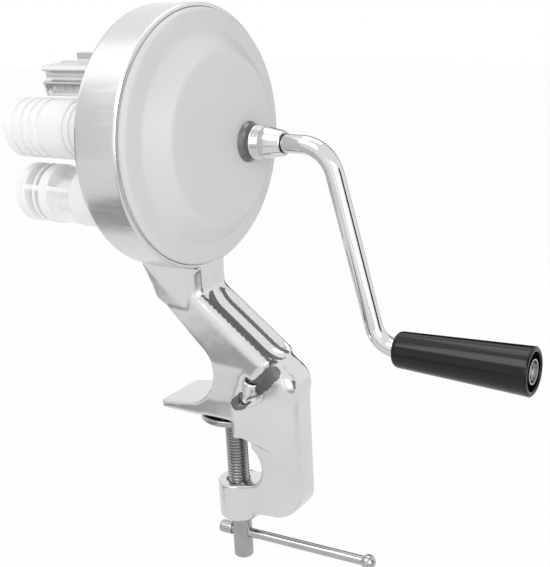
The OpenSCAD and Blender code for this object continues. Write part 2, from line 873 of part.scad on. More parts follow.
// Hub with fine ridges at its wide end and a smooth cone towards the arm
module crank_hub() {
    ridge_end_x = hub_x + hub_lead + hub_ridges * ridge_len;
    function ridge_r(x) = hub_r - (hub_r - hub_waist_r) * (x - hub_x) / (ridge_end_x - hub_x);
    function ridge_x(i) = hub_x + hub_lead + i * ridge_len;
    color("lightgray") difference() {
        turned(crank_c) polygon([
            [0, hub_x], [hub_r, hub_x],
            for (i = [0 : hub_ridges - 1]) each [
                [ridge_r(ridge_x(i)), ridge_x(i)],
                [ridge_r(ridge_x(i)) - ridge_depth, ridge_x(i) + ridge_len / 2]
            ],
            [hub_waist_r, ridge_end_x], [hub_tip_r, hub_end_x], [0, hub_end_x]
        ]);
        on_shaft(crank_c, hub_x - cut) linear_extrude(shaft_grip + cut) flatted(crank_shaft_r, seat_gap);
        bar_x(crank_c, socket_x, hub_end_x + cut, rod_r + seat_gap);
        bar_x(crank_c, hub_end_x - mouth_depth, hub_end_x + cut, rod_r + mouth_gap);
    }
}

// Bend of the rod about a centre in the crank's plane
module rod_bend(centre, bend_r, from_angle) {
    reach = 2 * (bend_r + rod_r);
    translate([centre[0], crank_c[0], centre[1]]) rotate([90, 0, 0]) intersection() {
        rotate_extrude() translate([bend_r, 0]) circle(rod_r);
        linear_extrude(reach, center = true) polygon([
            [0, 0], for (share = [0, 0.5, 1]) polar(reach, from_angle + bend_angle * share)
        ]);
    }
}

module crank_arm() {
    color("lightgray") {
        bar_x(crank_c, socket_x, upper_bend[0], rod_r);
        rod_bend(upper_bend, upper_bend_r, 90 - bend_angle);
        translate([arm_top[0], crank_c[0], arm_top[1]]) rotate([0, 90 + bend_angle, 0])
            translate([0, 0, -rod_lap]) cylinder(r = rod_r - rod_step, h = arm_straight + 2 * rod_lap);
        rod_bend(lower_bend, lower_bend_r, 270 - bend_angle);
        bar_x(grip_c, lower_bend[0], washer_x, rod_r);
        bar_x(grip_c, lower_bend[0], rivet_x + rivet_edge, spindle_r);
        turned(grip_c) round_disc(rivet_r, rivet_x, rivet_x + rivet_t, rivet_edge);
    }
}

module grip_washer() {
    color("dimgray") difference() {
        bar_x(grip_c, washer_x, washer_x + grip_washer_t, spindle_r + grip_washer_w);
        bar_x(grip_c, washer_x - cut, washer_x + grip_washer_t + cut, spindle_r + seat_gap);
    }
}

// Tapered grip with a deep ring-shaped recess in its free end
module grip() {
    socket_r = spindle_r + grip_washer_w + free_gap;
    recess_x = grip_end_x - grip_recess;
    color("black") turned(grip_c) difference() {
        union() {
            polygon([
                [0, grip_x], [grip_arm_r - grip_round, grip_x], [grip_arm_r, grip_x + grip_round],
                [grip_end_r, grip_end_x - grip_rim], [grip_end_r - grip_rim, grip_end_x], [0, grip_end_x]
            ]);
            translate([grip_arm_r - grip_round, grip_x + grip_round]) circle(grip_round);
            translate([grip_end_r - grip_rim, grip_end_x - grip_rim]) circle(grip_rim);
        }
        field([0, grip_x - cut], [sleeve_r + seat_gap, grip_end_x + cut]);
        field([0, grip_x - cut], [socket_r, sleeve_x]);
        field([0, recess_x], [grip_end_r - grip_rim_w, grip_end_x + cut]);
    }
}

module grip_sleeve() {
    color("gray") difference() {
        bar_x(grip_c, sleeve_x, sleeve_end_x, sleeve_r);
        bar_x(grip_c, sleeve_x - cut, sleeve_end_x, spindle_r + running_gap);
        bar_x(grip_c, sleeve_end_x - cup_depth, sleeve_end_x + cut, sleeve_r - cup_wall);
    }
}

module cutter_shaft() {
    color("lightsteelblue") driven_shaft(cutter_c, cutter_seat_x, crank_gear_end_x);
}

module cutter_spacer() {
    color("darkgray") difference() {
        bar_x(cutter_c, floor_x + free_gap, reduction_plane_x, shaft_r + spacer_wall);
        bar_x(cutter_c, floor_x, reduction_plane_x + cut, shaft_r + seat_gap);
    }
}

module cutter_pinion() {
    color("darkgray") gear(cutter_c, reduction_plane_x, pinion_teeth, 0, shaft_r);
}

module cutter_gear() {
    color("darkgray") gear(cutter_c, crank_plane_x, cutter_teeth, cutter_phase, shaft_r);
}

module cutter_clip() {
    color("dimgray") shaft_clip(cutter_c, crank_gear_end_x, shaft_r);
}

// One half of the cutter's section, with its hooked blade to the left
module blade_half() {
    polygon([
        [0, web_t / 2], [-lip_reach, web_t / 2], [-blade_reach, web_t / 2 - lip_drop],
        [-blade_reach, scoop_z + scoop_r], [-hook_tip_reach, -hook_drop],
        [-hook_wall_reach, -hook_drop], [-hook_wall_reach, -web_t / 2], [0, -web_t / 2]
    ]);
}

module cutter_rotor() {
    color("gray") difference() {
        on_shaft(cutter_c, cutter_end_x) linear_extrude(cutter_len) intersection() {
            circle(cutter_r);
            difference() {
                union() {
                    for (a = [0, 180]) rotate(a) blade_half();
                    circle(cutter_hub_r);
                }
                for (a = [0, 180]) rotate(a) translate([-blade_reach, flute_z]) circle(flute_r);
            }
        }
        on_shaft(cutter_c, cutter_end_x + scoop_end_wall) linear_extrude(cutter_len)
            for (a = [0, 180]) rotate(a) translate([-blade_reach - scoop_out, scoop_z]) circle(scoop_r);
        driven_bore(cutter_c, cutter_end_x, cutter_seat_x);
    }
}

module cutter_screw() {
    color("dimgray") end_screw(cutter_c, cutter_seat_x);
}

module upper_roller_shaft() {
    color("lightsteelblue") driven_shaft(upper_c, roller_seat_x, reduction_plane_x + gear_t);
}

module upper_roller_gear() {
    color("darkgray") gear(upper_c, roller_plane_x, roller_teeth, 0, shaft_r);
}

module reduction_gear() {
    color("darkgray") gear(upper_c, reduction_plane_x, reduction_teeth, reduction_phase, shaft_r);
}

module upper_roller_clip() {
    color("dimgray") shaft_clip(upper_c, reduction_plane_x + gear_t, shaft_r);
}

// Section of a disc on a roller, between two shares of the roller's length
module roller_disc(from_share, to_share) {
    round_disc(roller_r, roller_x(from_share), roller_x(to_share), band_edge);
}

// Roller with raised bands on a solid core
module upper_roller() {
    color("white") difference() {
        turned(upper_c) {
            round_disc(upper_core_r, roller_end_x, roller_start_x, roller_edge);
            for (i = [0 : len(band_start_shares) - 1])
                roller_disc(band_start_shares[i], band_end_shares[i]);
        }
        driven_bore(upper_c, roller_end_x, roller_seat_x);
    }
}

module upper_roller_screw() {
    color("dimgray") end_screw(upper_c, roller_seat_x);
}

module lower_roller_shaft() {
    color("lightsteelblue") driven_shaft(lower_c, roller_seat_x, roller_plane_x + gear_t);
}

module lower_roller_gear() {
    color("darkgray") gear(lower_c, roller_plane_x, roller_teeth, lower_phase, shaft_r);
}

module lower_roller_clip() {
    color("dimgray") shaft_clip(lower_c, roller_plane_x + gear_t, shaft_r);
}

// Open roller of discs, one with a sloping flank, joined by ribs along a thin core
module lower_roller() {
    slope_x = roller_x(disc_start_shares[3]);
    slope_foot_x = slope_x - roller_len * slope_share;
    color("white") difference() {
        union() {
            turned(lower_c) {
                field([0, roller_end_x], [lower_core_r, roller_start_x]);
                for (i = [0 : len(disc_start_shares) - 1])
                    roller_disc(disc_start_shares[i], disc_end_shares[i]);
                polygon([
                    [0, slope_foot_x], [lower_core_r, slope_foot_x], [roller_r - band_edge, slope_x],
                    [roller_r - band_edge, slope_x + band_edge], [0, slope_x + band_edge]
                ]);
            }
            on_shaft(lower_c, roller_end_x + roller_edge) linear_extrude(roller_len - 2 * roller_edge)
                for (i = [0 : ribs - 1]) rotate(rib_turn + 360 * i / ribs)
                    field([0, -rib_t / 2], [roller_r - band_edge, rib_t / 2]);
        }
        driven_bore(lower_c, roller_end_x, roller_seat_x);
    }
}

module lower_roller_screw() {
    color("dimgray") end_screw(lower_c, roller_seat_x);
}

// Rolled thread as a row of ridges
module thread() {
    root_r = screw_r - thread_depth;
    rotate_extrude() polygon([
        [0, thread_top_z],
        for (i = [0 : thread_turns - 1]) each [
            [root_r, thread_top_z - i * screw_pitch],
            [screw_r, thread_top_z - (i + crest_shares[0]) * screw_pitch],
            [screw_r, thread_top_z - (i + crest_shares[1]) * screw_pitch]
        ],
        [root_r, thread_low_z], [0, thread_low_z]
    ]);
}

// Plain shank with a rounded end, which runs out in the last turn of the thread
module shank() {
    rotate_extrude() {
        field([0, screw_end_z], [shank_r - shank_round, thread_low_z + screw_pitch]);
        field([0, screw_end_z + shank_round], [shank_r, thread_low_z + screw_pitch]);
        translate([shank_r - shank_round, screw_end_z + shank_round]) circle(shank_round);
    }
}

// Round bar through the clamp screw, between two places along the tommy bar
module cross_bar(from_x, to_x, r) {
    rotate([0, 0, bar_turn]) translate([from_x, 0, bar_z]) rotate([0, 90, 0])
        cylinder(r = r, h = to_x - from_x);
}

module clamp_screw() {
    color("dimgray") difference() {
        union() {
            thread();
            shank();
            translate([0, 0, thread_top_z - screw_pitch])
                cylinder(r = tip_r, h = tip_head_low_z + tip_head_t - thread_top_z + screw_pitch);
            translate([0, 0, tip_head_low_z]) cylinder(r = tip_head_r, h = tip_head_t);
        }
        cross_bar(-shank_r - cut, shank_r + cut, bar_r + bar_gap);
    }
}

module clamp_pad() {
    color("gray") rotate_extrude() difference() {
        round_disc(pad_r, pad_low_z, pad_top_z, pad_edge);
        field([0, pad_low_z - cut], [tip_r + running_gap, pad_top_z]);
        field([0, pad_low_z + pad_web], [tip_head_r + free_gap, pad_top_z + cut]);
    }
}

module tommy_bar() {
    color("silver") cross_bar(bar_start + cap_wall, bar_end + ball_seat, bar_r);
}

module tommy_bar_ball() {
    color("silver") rotate([0, 0, bar_turn]) translate([bar_end, 0, bar_z]) rotate([0, 90, 0])
        rotate_extrude() difference() {
            circle(ball_r);
            field([-ball_r - cut, -ball_r - cut], [0, ball_r + cut]);
            field([-cut, -ball_r - cut], [bar_r + seat_gap, ball_seat + seat_gap]);
        }
}

module tommy_bar_cap() {
    color("silver") rotate([0, 0, bar_turn]) translate([bar_start, 0, bar_z]) rotate([0, 90, 0])
        rotate_extrude() difference() {
            round_disc(cap_r, 0, cap_len, cap_edge);
            field([-cut, cap_wall - seat_gap], [bar_r + seat_gap, cap_len + cut]);
        }
}

body_casting();
gear_cover();
crank_bush();
cutter_bush();
upper_roller_bush();
lower_roller_bush();
crank_shaft();
crank_clip();
crank_gear();
crank_spacer();
crank_collar();
crank_hub();
crank_arm();
grip_washer();
grip();
grip_sleeve();
cutter_shaft();
cutter_spacer();
cutter_pinion();
cutter_gear();
cutter_clip();
cutter_rotor();
cutter_screw();
upper_roller_shaft();
upper_roller_gear();
reduction_gear();
upper_roller_clip();
upper_roller();
upper_roller_screw();
lower_roller_shaft();
lower_roller_gear();
lower_roller_clip();
lower_roller();
lower_roller_screw();
clamp_screw();
clamp_pad();
tommy_bar();
tommy_bar_ball();
tommy_bar_cap();
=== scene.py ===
# %% [markdown]
# # A hand cranked shell pasta machine
# The imported construction model is the fixed frame of this lesson. It brings every piece with its exact
# place. The cells below give the visible pieces the soft edges, the thread, painted shade in the casting's
# hollows and the finishes of the real machine. Lengths are written in millimetres, and MM turns them
# into metres.

# %% Load the frame
import json
import math

import bmesh
import bpy
import numpy as np
from mathutils import Matrix, Vector


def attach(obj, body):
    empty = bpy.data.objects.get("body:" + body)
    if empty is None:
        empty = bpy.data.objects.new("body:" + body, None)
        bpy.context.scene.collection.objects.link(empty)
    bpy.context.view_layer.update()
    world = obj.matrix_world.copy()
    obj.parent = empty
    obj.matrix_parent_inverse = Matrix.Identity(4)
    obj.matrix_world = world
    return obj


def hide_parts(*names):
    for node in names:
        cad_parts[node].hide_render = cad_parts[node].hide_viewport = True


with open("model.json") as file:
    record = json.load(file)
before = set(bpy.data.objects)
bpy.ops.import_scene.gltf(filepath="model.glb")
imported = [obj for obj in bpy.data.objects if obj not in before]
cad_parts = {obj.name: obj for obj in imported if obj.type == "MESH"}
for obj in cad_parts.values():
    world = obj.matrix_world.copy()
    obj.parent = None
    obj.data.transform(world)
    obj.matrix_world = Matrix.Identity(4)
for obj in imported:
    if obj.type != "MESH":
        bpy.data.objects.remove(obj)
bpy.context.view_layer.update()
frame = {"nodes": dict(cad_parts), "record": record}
MM = 0.001

# %% [markdown]
# ## The camera
# The camera's place came from fitting the housing's circles, the screw's axis and the grip to the
# photograph. Two of its directions are written as unit vectors, and the third is square to both. The
# lens is a little longer than a normal one, as in product photographs.

# %% Camera
CAMERA_PLACE = (266.0, -355.5, 192.2)
CAMERA_UP = (-0.1174, 0.2686, 0.9561)
CAMERA_BACK = (0.5357, -0.7935, 0.2887)
LENS, SENSOR = 66.397, 36.0
NEAREST, FARTHEST = 10.0, 20000.0


def placed(name, data):
    """Object in the scene that shows a mesh, a lamp or a camera."""
    thing = bpy.data.objects.new(name, data)
    bpy.context.scene.collection.objects.link(thing)
    return thing


def camera_matrix():
    """Columns are the camera's right, up and back directions, made square to each other."""
    back = Vector(CAMERA_BACK).normalized()
    right = Vector(CAMERA_UP).cross(back).normalized()
    up = back.cross(right)
    turn = Matrix((right, up, back)).transposed()
    return Matrix.Translation(Vector(CAMERA_PLACE) * MM) @ turn.to_4x4()


camera_data = bpy.data.cameras.new("camera")
camera_data.lens, camera_data.sensor_width = LENS, SENSOR
camera_data.clip_start, camera_data.clip_end = NEAREST * MM, FARTHEST * MM
camera = placed("camera", camera_data)
camera.matrix_world = camera_matrix()
bpy.context.scene.camera = camera
print("camera right", [round(v, 4) for v in camera.matrix_world.col[0][:3]])

# %% [markdown]
# ## Shapes from arrays
# Most pieces are turned or bent from bar, so most shapes are a profile carried round an axis or a circle
# carried along a path. Both are grids of points, worked out as whole arrays. Corners are rounded in the
# profile itself, which costs nothing and catches the light as a real edge does.

# %% Profiles
CORNER_STEPS = 6
LEAST_GAP = 0.001


def unit(vectors):
    """Each row divided by its length."""
    return vectors / np.maximum(np.linalg.norm(vectors, axis=1, keepdims=True), 1e-9)


def soften(corners, closed):
    """Rounds a corner P by a curve from A, a given way before P, to B, as far after P.

    The curve is (1-t)^2 A + 2t(1-t) P + t^2 B for t from 0 to 1.
    """
    rows = np.asarray(corners, float)
    point, way = rows[:, :2], rows[:, 2:3]
    before, after = np.roll(point, 1, axis=0), np.roll(point, -1, axis=0)
    if not closed:
        before[0], after[-1] = point[0], point[-1]
    start = point + way * unit(before - point)
    end = point + way * unit(after - point)
    t = np.linspace(0, 1, CORNER_STEPS)[None, :, None]
    curve = (1 - t) ** 2 * start[:, None] + 2 * t * (1 - t) * point[:, None] + t**2 * end[:, None]
    return curve.reshape(-1, 2)


def evened(points, step, closed):
    """Reads a line of points at its corners and at equal places, so that no side is longer than step."""
    line = np.vstack([points, points[:1]]) if closed else points
    run = np.concatenate([[0], np.cumsum(np.linalg.norm(np.diff(line, axis=0), axis=1))])
    places = np.sort(np.concatenate([run, np.arange(0, run[-1], step)]))
    places = places[np.concatenate([[True], np.diff(places) > LEAST_GAP])]
    read = np.column_stack([np.interp(places, run, line[:, k]) for k in range(2)])
    return read[:-1] if closed else read


def profile(corners, closed=True, step=1.5):
    """Rounded and evened line from rows of place along the axis, radius and rounding."""
    return evened(soften(corners, closed), step, closed)


# %% Grids of faces
# Points round an axis, for pieces of each size.
TURNS_LARGE, TURNS_MEDIUM, TURNS_SMALL, TURNS_BAR, TURNS_TIP, TURNS_THIN = 256, 128, 96, 72, 64, 48


def grid_faces(rows, columns, wrap_rows):
    """Four-sided faces between neighbouring rows of a grid whose columns close into a ring."""
    row = np.arange(rows if wrap_rows else rows - 1)[:, None]
    low = row * columns
    high = ((row + 1) % rows) * columns
    here = np.arange(columns)[None, :]
    there = (here + 1) % columns
    faces = np.stack([low + here, low + there, high + there, high + here], axis=-1)
    return faces.reshape(-1, 4)


def turned(line, centre, turns, closed=True):
    """A profile point (x, r) at the angle a stands at (x, y0 + r cos a, z0 + r sin a)."""
    angle = np.linspace(0, 2 * np.pi, turns, endpoint=False)
    x, r = line[:, :1], line[:, 1:]
    points = np.stack(
        [x + 0 * angle, centre[0] + r * np.cos(angle), centre[1] + r * np.sin(angle)], axis=-1
    )
    return points.reshape(-1, 3), grid_faces(len(line), turns, closed)


def carried(path, radius, y, turns=56):
    """A circle carried along a path in the x-z plane: p + r (n cos a + e sin a).

    Here n is square to the path and e points along y. The end points are repeated with radius 0, which
    closes both ends.
    """
    angle = np.linspace(0, 2 * np.pi, turns, endpoint=False)
    path = np.vstack([path[:1], path, path[-1:]])
    along = unit(np.gradient(path, axis=0))
    side = np.column_stack([-along[:, 1], along[:, 0]])
    r = np.full((len(path), 1), radius, float)
    r[[0, -1]] = 0
    x = path[:, :1] + r * side[:, :1] * np.cos(angle)
    z = path[:, 1:] + r * side[:, 1:] * np.cos(angle)
    points = np.stack([x, y + r * np.sin(angle) + 0 * x, z], axis=-1)
    return points.reshape(-1, 3), grid_faces(len(path), turns, False)


# %% Pieces
HARD_ANGLE = math.radians(38)
MERGE_REACH = 0.002


def shade(mesh):
    """Smooth faces with a crease wherever two of them meet at more than the hard angle."""
    mesh.shade_smooth()
    mesh.set_sharp_from_angle(angle=HARD_ANGLE)


def clean(mesh):
    """Merges points that coincide, drops what has no area and turns all faces outwards."""
    work = bmesh.new()
    work.from_mesh(mesh)
    bmesh.ops.remove_doubles(work, verts=work.verts, dist=MERGE_REACH * MM)
    bmesh.ops.dissolve_degenerate(work, edges=work.edges, dist=MERGE_REACH * MM / 4)
    bmesh.ops.recalc_face_normals(work, faces=work.faces)
    work.to_mesh(mesh)
    work.free()


def solid(name, shape):
    """Object from points in millimetres and four-sided faces."""
    points, faces = shape
    mesh = bpy.data.meshes.new(name)
    mesh.from_pydata((points * MM).tolist(), [], faces.tolist())
    clean(mesh)
    shade(mesh)
    return placed(name, mesh)


def settled(piece):
    """Turns a piece's live modifiers into mesh."""
    bpy.context.view_layer.update()
    graph = bpy.context.evaluated_depsgraph_get()
    made = bpy.data.meshes.new_from_object(piece.evaluated_get(graph))
    piece.modifiers.clear()
    piece.data = made
    return piece


def combined(piece, others, operation):
    """Cuts or joins closed solids into a piece, one after another, and removes them."""
    for other in others:
        step = piece.modifiers.new("combine", "BOOLEAN")
        step.operation, step.solver, step.object = operation, "EXACT", other
        settled(piece)
        bpy.data.objects.remove(other)
    clean(piece.data)
    shade(piece.data)
    return piece


def belongs(piece, body, slot, *nodes):
    """Says which body the piece moves with and which CAD nodes it stands for; the slot argument is not
    used.
    """
    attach(piece, body)
    if nodes:
        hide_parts(*nodes)
    print(f"{piece.name}: {len(piece.data.polygons)} faces on {body}")
    return piece


# %% [markdown]
# ## Finishes
# Every finish is worked out from the place on the object. A soft cloud of noise shifts colour and
# roughness a little, as handling and casting do, and a fine noise gives the surface its grain. Stretching
# the fine noise along one direction makes it a brushed finish.

# %% One recipe for a finish
FINISHES = {}


def added(tree, kind, **values):
    """New shader node with some inputs set; an underscore in an input's name stands for a space."""
    node = tree.nodes.new("ShaderNode" + kind)
    for socket, value in values.items():
        node.inputs[socket.replace("_", " ")].default_value = value
    return node


def finish(
    name, dark, light, rough, cloud, grain, stretch=(1, 1, 1), relief=0.02, ripple=0.0, **sockets
):
    """A cloud varies colour and roughness; a stretched grain shifts roughness and lifts the surface.

    Relief and ripple are the heights in millimetres of the grain and of the cloud's slow waves.
    """
    material = bpy.data.materials.new(name)
    material.use_nodes = True
    tree = material.node_tree
    shader = tree.nodes["Principled BSDF"]
    place = added(tree, "TexCoord")
    mapping = added(tree, "Mapping", Scale=stretch)
    tree.links.new(place.outputs["Object"], mapping.inputs["Vector"])
    clouds = added(tree, "TexNoise", Scale=cloud, Detail=3.0)
    tree.links.new(place.outputs["Object"], clouds.inputs["Vector"])
    grains = added(tree, "TexNoise", Scale=grain, Detail=4.0)
    tree.links.new(mapping.outputs["Vector"], grains.inputs["Vector"])
    colour = added(tree, "Mix")
    colour.data_type = "RGBA"
    colour.inputs["A"].default_value = (*dark, 1)
    colour.inputs["B"].default_value = (*light, 1)
    tree.links.new(clouds.outputs["Fac"], colour.inputs["Factor"])
    tree.links.new(colour.outputs["Result"], shader.inputs["Base Color"])
    mixed = added(tree, "Mix", Factor=0.5)
    tree.links.new(clouds.outputs["Fac"], mixed.inputs["A"])
    tree.links.new(grains.outputs["Fac"], mixed.inputs["B"])
    roughness = added(tree, "MapRange", From_Min=0.3, From_Max=0.7, To_Min=rough[0], To_Max=rough[1])
    tree.links.new(mixed.outputs["Result"], roughness.inputs["Value"])
    tree.links.new(roughness.outputs["Result"], shader.inputs["Roughness"])
    waves = added(tree, "Bump", Distance=ripple * MM)
    tree.links.new(clouds.outputs["Fac"], waves.inputs["Height"])
    bump = added(tree, "Bump", Strength=0.6, Distance=relief * MM)
    tree.links.new(grains.outputs["Fac"], bump.inputs["Height"])
    tree.links.new(waves.outputs["Normal"], bump.inputs["Normal"])
    tree.links.new(bump.outputs["Normal"], shader.inputs["Normal"])
    for socket, value in sockets.items():
        shader.inputs[socket.replace("_", " ")].default_value = value
    FINISHES[name] = material


def metal(name, *look, **more):
    """Finish of a bare metal."""
    finish(name, *look, Metallic=1.0, **more)


def grey(value):
    """Neutral colour whose picture value, from 0 to 255, is given."""
    share = value / 255
    linear = share / 12.92 if share <= 0.04045 else ((share + 0.055) / 1.055) ** 2.4
    return (linear, linear, linear)


# %% The machine's finishes
metal("cast_metal", grey(212), grey(230), (0.14, 0.26), 45, 1500, relief=0.005, ripple=0.35)
metal("ring_metal", grey(210), grey(230), (0.12, 0.34), 25, 800, (0.04, 1, 1), 0.008, 0.2)
# Painted shade: a darker, rougher copy of the cast metal for the channel's walls and the hollow below the
# neck.
metal("cast_metal_painted_shade", grey(84), grey(132), (0.3, 0.55), 1100, 2400, relief=0.03)
finish("cover_plastic", grey(206), grey(211), (0.38, 0.5), 30, 2200, relief=0.01)
metal("bush_brass", (0.35, 0.24, 0.09), (0.45, 0.32, 0.13), (0.3, 0.5), 120, 1500)
metal("shaft_steel", grey(170), grey(190), (0.2, 0.35), 60, 1500, (0.1, 1, 1), 0.01)
metal("spring_steel", grey(60), grey(80), (0.3, 0.5), 200, 2500)
metal("gear_steel", grey(150), grey(175), (0.25, 0.45), 90, 1800)
metal("polished_chrome", grey(210), grey(224), (0.05, 0.11), 60, 900, relief=0.001)
# Painted shade: a darker copy of the chrome for the hub collar, which sits in shade in the cover's hole.
metal("collar_steel_painted_shade", grey(112), grey(132), (0.18, 0.3), 60, 900, relief=0.002)
finish("grip_plastic", grey(10), grey(16), (0.1, 0.18), 60, 1400, relief=0.003, Specular_IOR_Level=0.35)
metal("cutter_alloy", grey(206), grey(224), (0.2, 0.34), 60, 1000, (0.06, 1, 1), 0.006)
finish("roller_plastic", grey(242), grey(246), (0.3, 0.42), 80, 1800, relief=0.004)
metal("clamp_steel", grey(156), grey(182), (0.16, 0.3), 160, 1800, relief=0.006)
metal("bar_steel", grey(168), grey(190), (0.08, 0.2), 90, 1200, (0.1, 1, 1), 0.003)
print(len(FINISHES), "finishes")


def dressed(piece, name):
    """Gives a piece one finish."""
    piece.data.materials.clear()
    piece.data.materials.append(FINISHES[name])
    return piece


# %% [markdown]
# ## Pieces that keep their construction mesh
# Bushes, shafts, clips, gears and screws are machined or stamped and already have their true shape, so
# they only get their finish.

# %% Finish the kept nodes
for entry in frame["record"]["subparts"]:
    node = frame["nodes"][entry["node"]]
    dressed(node, entry["material_slot"])
print("kept nodes dressed:", len(frame["nodes"]))

# %% [markdown]
# ## The housing ring
# The housing is a cast and turned ring with a back plate, four bearing bosses behind it and a rebate in
# front for the cover. A turned profile gives its rounded edges. The bosses are turned too, joined to the
# plate and bored for the bushes, as on the real casting.

# %% Housing measurements
HOUSING = (0.0, 124.0)
RING_R, RING_WALL, RING_ROUND = 56.5, 3.5, 1.4
RING_BORE_R = RING_R - RING_WALL
BACK_X, FLOOR_X, FRONT_X = -29.0, -25.0, -7.0
REBATE_X, REBATE_R = -10.5, 54.8
BOSS_X, BOSS_ROUND = -37.0, 0.6
BORE_START, BORE_END = -45.0, -1.0
CRANK = (16.7, 120.3)


def shaft_centre(start, distance, direction):
    """Centre at a distance from another, in the direction given in degrees."""
    turn = math.radians(direction)
    return (start[0] + distance * math.cos(turn), start[1] + distance * math.sin(turn))


CUTTER = shaft_centre(CRANK, 38.75, 126.7)
UPPER = shaft_centre(CUTTER, 28.75, 228.7)
LOWER = shaft_centre(UPPER, 30.0, 274.8)
# Rows of shaft centre, front end of the boss, radius of the boss and radius of the bore.
BEARINGS = [
    (CRANK, -13.4, 9.0, 6.52), (CUTTER, -24.9, 8.0, 5.52),
    (UPPER, -24.9, 8.0, 5.52), (LOWER, -24.9, 8.0, 5.52),
]


# %% Housing ring
def bar_line(start, end, radius, rounding=0.0):
    """Profile of a round bar that is closed at both ends."""
    corners = [(start, 0, 0), (start, radius, rounding), (end, radius, rounding), (end, 0, 0)]
    return profile(corners, False, 4)


def bar(name, centre, start, end, radius, rounding=0.0):
    """Closed round bar along X."""
    return solid(name, turned(bar_line(start, end, radius, rounding), centre, TURNS_BAR, False))


ring_line = profile(
    [
        (BACK_X, 0, 0), (BACK_X, RING_R, RING_ROUND), (FRONT_X, RING_R, RING_ROUND),
        (FRONT_X, REBATE_R, 0.25), (REBATE_X, REBATE_R, 0.1), (REBATE_X, RING_BORE_R, 0.2),
        (FLOOR_X, RING_BORE_R, 1.0), (FLOOR_X, 0, 0),
    ],
    False,
)
housing = solid("housing", turned(ring_line, HOUSING, TURNS_LARGE, False))
bosses = [bar("boss", centre, BOSS_X, end, radius, BOSS_ROUND) for centre, end, radius, _ in BEARINGS]
bores = [bar("bore", centre, BORE_START, BORE_END, radius) for centre, _, _, radius in BEARINGS]
combined(housing, bosses, "UNION")
combined(housing, bores, "DIFFERENCE")
dressed(housing, "ring_metal")
belongs(housing, "frame", "cast_metal")

# %% [markdown]
# ## The neck and the table clamp
# This part of the casting has soft edges and fillets everywhere, because sand and die casting can't hold
# sharp ones. A copy of the construction solid is cut off inside the ring, rebuilt in small cubes of equal
# size and relaxed a few times: that rounds every edge by about a millimetre, as the mould did. Where
# neck, shoulder and spine run into each other it is relaxed further, until they flow together. The
# channel down the neck gets its full width first, since the relaxing fills it a little.


# %% Cast copy of a node
def merged_copy(name, node):
    """Copy of a CAD node's mesh with its loose triangles joined."""
    mesh = frame["nodes"][node].data.copy()
    work = bmesh.new()
    work.from_mesh(mesh)
    bmesh.ops.remove_doubles(work, verts=work.verts, dist=MERGE_REACH * MM)
    work.to_mesh(mesh)
    work.free()
    mesh.name = name
    return placed(name, mesh)


def relaxed(piece, voxel, rounds):
    """Rebuilds a piece in cubes of one size and smooths it in small steps."""
    remesh = piece.modifiers.new("cubes", "REMESH")
    remesh.mode, remesh.voxel_size, remesh.adaptivity = "VOXEL", voxel * MM, 0.0
    smooth = piece.modifiers.new("relax", "SMOOTH")
    smooth.factor, smooth.iterations = 0.5, rounds
    settled(piece)
    piece.data.shade_smooth()
    return piece


def in_millimetres(elements, what):
    """Places of a mesh's vertices or faces as rows of millimetres."""
    places = np.empty(len(elements) * 3)
    elements.foreach_get(what, places)
    return places.reshape(-1, 3) / MM


WEIGHT_STEPS = 10


def flowing(piece, places, rounds):
    """Smooths a piece further near some places, each with a reach: weight (1 - (distance / reach)^2)^2.

    The weights go into the vertex group in tenths.
    """
    points = in_millimetres(piece.data.vertices, "co")
    weight = np.zeros(len(points))
    for centre, reach in places:
        far = ((points - centre) ** 2).sum(axis=1) / reach**2
        weight = np.maximum(weight, np.clip(1 - far, 0, 1) ** 2)
    group = piece.vertex_groups.new(name="flow")
    for level in range(1, WEIGHT_STEPS + 1):
        chosen = np.nonzero(np.round(weight * WEIGHT_STEPS) == level)[0].tolist()
        if chosen:
            group.add(chosen, level / WEIGHT_STEPS, "REPLACE")
    smooth = piece.modifiers.new("flow", "SMOOTH")
    smooth.factor, smooth.iterations, smooth.vertex_group = 0.5, rounds, "flow"
    settled(piece)
    piece.vertex_groups.clear()
    piece.data.shade_smooth()
    return piece


def block(name, low, high):
    """Closed box between two corners; each corner of a unit cube picks its coordinates from them."""
    pick = np.array(
        [[0, 0, 0], [1, 0, 0], [1, 1, 0], [0, 1, 0], [0, 0, 1], [1, 0, 1], [1, 1, 1], [0, 1, 1]]
    )
    corners = np.asarray(low) + pick * (np.asarray(high) - np.asarray(low))
    faces = np.array([[0, 3, 2, 1], [4, 5, 6, 7], [0, 1, 5, 4], [1, 2, 6, 5], [2, 3, 7, 6], [3, 0, 4, 7]])
    return solid(name, (corners, faces))


# %% Neck and clamp measurements
NECK_SLOPE = math.radians(36.7)
NECK_DOWN = np.array([math.cos(NECK_SLOPE), 0, -math.sin(NECK_SLOPE)])
NECK_OUT = np.array([math.sin(NECK_SLOPE), 0, math.cos(NECK_SLOPE)])
NECK_START = np.array([FRONT_X, 0, 57.0])
CHANNEL_START, CHANNEL_END, CHANNEL_R, CHANNEL_DEPTH = 9.1, 36.5, 14.0, 3.8
KEPT_LOW, KEPT_HIGH = (-60, -24, -80), (60, 24, 72.6)
CAST_CUBE, CAST_ROUNDS, FLOW_ROUNDS = 0.6, 8, 60
# Rows of x, distance from the middle plane, z and reach.
FLOW_ROWS = [
    (27, 11, 19, 18), (34, 0, 18, 16), (16, 14, 11, 15), (-14, 17, 60, 19),
    (36, 8, 0, 18), (30, 0, -42, 24), (22, 8, -8, 16), (36, 8, -20, 18),
]
FLOWS = [((x, side * y, z), reach) for x, y, z, reach in FLOW_ROWS for side in (-1, 1)]
# Painted shade on the casting: a stretch of the channel across its two walls, and the hollow below the
# neck.
PAINTED_SHADE_RUN, PAINTED_SHADE_DEPTH = (0.5, 45.5), (-5.0, -0.45)
NEAR_WALL, FAR_WALL = (-9.6, -0.8), (3.8, 5.8)
HOLLOW_TOP, HOLLOW_FOOT, HOLLOW_R = np.array([28.5, -9.0, 25.0]), np.array([12.5, -14.0, 9.5]), 3.6


